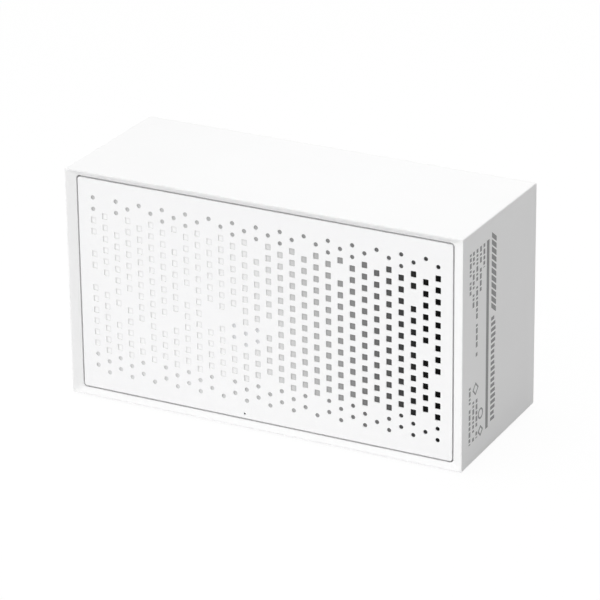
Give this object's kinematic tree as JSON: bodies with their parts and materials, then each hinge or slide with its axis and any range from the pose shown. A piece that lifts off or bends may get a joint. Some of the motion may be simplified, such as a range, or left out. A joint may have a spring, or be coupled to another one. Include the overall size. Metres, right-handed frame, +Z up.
{
  "type": "portable wireless speaker",
  "caption": "White box-shaped desktop wireless speaker with a bevelled rim round a pierced metal front, side keys, rear sockets and a switch.",
  "frame": {"origin": "on the surface the feet stand on, under the middle of the housing", "axes": "+X to the right seen from the front, +Y from the front towards the back, +Z up"},
  "size_m": [0.15, 0.06, 0.0846],
  "materials": {
    "white_abs": "fine moulded texture, satin",
    "grey_abs": "moulded",
    "black_abs": "moulded",
    "grey_rubber": "matt",
    "white_painted_steel": "satin powder coat",
    "cloth": "woven, fading from white at the left to black at the right",
    "opal_acrylic": "opal, frosted",
    "clear_acrylic": "clear",
    "black_foam": "closed-cell foam",
    "zinc_steel": "zinc plated",
    "circuit_board": "glass-epoxy with solder mask",
    "led_body": "clear lens",
    "tinned_steel": "tinned",
    "chip_resin": "moulded epoxy",
    "component_grey": "mixed small parts",
    "battery_sleeve": "heat-shrink sleeve",
    "nylon_strap": "woven nylon",
    "lead_insulation": "soft insulation",
    "black_painted_steel": "pressed and painted",
    "ferrite": "sintered ceramic magnet",
    "surround_rubber": "butyl rubber",
    "spider_cloth": "resin-treated cloth",
    "brass": "tinned tabs on a strip",
    "cone_paper": "coated paper",
    "copper_coil": "enamelled copper wire",
    "print_ink": "grey printing ink, used by the printed marks on the right side"
  },
  "bodies": {
    "enclosure": {"housing": "white_abs", "rubber_feet": "grey_rubber", "front_panel": "white_painted_steel", "grille_cloth": "cloth", "status_light_guide": "opal_acrylic", "baffle": "black_abs", "baffle_gasket": "black_foam", "baffle_screws": "zinc_steel", "driver_screws": "zinc_steel", "indicator_board": "circuit_board", "status_leds": "led_body", "microphone": "tinned_steel", "key_board": "circuit_board", "key_switches": "tinned_steel", "main_board": "circuit_board", "board_bracket": "grey_abs", "bluetooth_module": "tinned_steel", "amplifier_chip": "chip_resin", "board_components": "component_grey", "usb_socket": "tinned_steel", "aux_jack": "black_abs", "power_switch_body": "tinned_steel", "charge_light_pipe": "clear_acrylic", "battery_cells": "battery_sleeve", "battery_cradle": "grey_abs", "battery_strap": "nylon_strap", "chassis_screws": "zinc_steel", "board_screws": "zinc_steel", "battery_lead": "lead_insulation", "left_speaker_lead": "lead_insulation", "right_speaker_lead": "lead_insulation", "indicator_lead": "lead_insulation", "key_lead": "lead_insulation", "left_driver_basket": "black_painted_steel", "left_driver_gasket": "black_foam", "left_front_plate": "zinc_steel", "left_magnet": "ferrite", "left_yoke": "zinc_steel", "left_surround": "surround_rubber", "left_spider": "spider_cloth", "left_terminals": "brass", "right_driver_basket": "black_painted_steel", "right_driver_gasket": "black_foam", "right_front_plate": "zinc_steel", "right_magnet": "ferrite", "right_yoke": "zinc_steel", "right_surround": "surround_rubber", "right_spider": "spider_cloth", "right_terminals": "brass"},
    "left_cone_body": {"left_cone": "cone_paper", "left_dust_cap": "cone_paper", "left_voice_coil": "copper_coil"},
    "right_cone_body": {"right_cone": "cone_paper", "right_dust_cap": "cone_paper", "right_voice_coil": "copper_coil"},
    "volume_down_key": {"volume_down_button": "white_abs"},
    "play_key": {"play_button": "white_abs"},
    "volume_up_key": {"volume_up_button": "white_abs"},
    "power_knob": {"power_switch_knob": "black_abs"}
  },
  "joints": [
    {"name": "volume_down_press", "type": "slide", "parent": "enclosure", "child": "volume_down_key", "axis": [1, 0, 0], "range_m": [0, 0.0003], "stiffness_N_per_m": 3000},
    {"name": "play_press", "type": "slide", "parent": "enclosure", "child": "play_key", "axis": [1, 0, 0], "range_m": [0, 0.0003], "stiffness_N_per_m": 3000},
    {"name": "volume_up_press", "type": "slide", "parent": "enclosure", "child": "volume_up_key", "axis": [1, 0, 0], "range_m": [0, 0.0003], "stiffness_N_per_m": 3000},
    {"name": "power_switch_slide", "type": "slide", "parent": "enclosure", "child": "power_knob", "axis": [1, 0, 0], "range_m": [0, 0.002]},
    {"name": "left_cone_travel", "type": "slide", "parent": "enclosure", "child": "left_cone_body", "axis": [0, 1, 0], "range_m": [-0.0015, 0.0015], "stiffness_N_per_m": 1200, "deforming": ["left_surround", "left_spider"]},
    {"name": "right_cone_travel", "type": "slide", "parent": "enclosure", "child": "right_cone_body", "axis": [0, 1, 0], "range_m": [-0.0015, 0.0015], "stiffness_N_per_m": 1200, "deforming": ["right_surround", "right_spider"]}
  ]
}
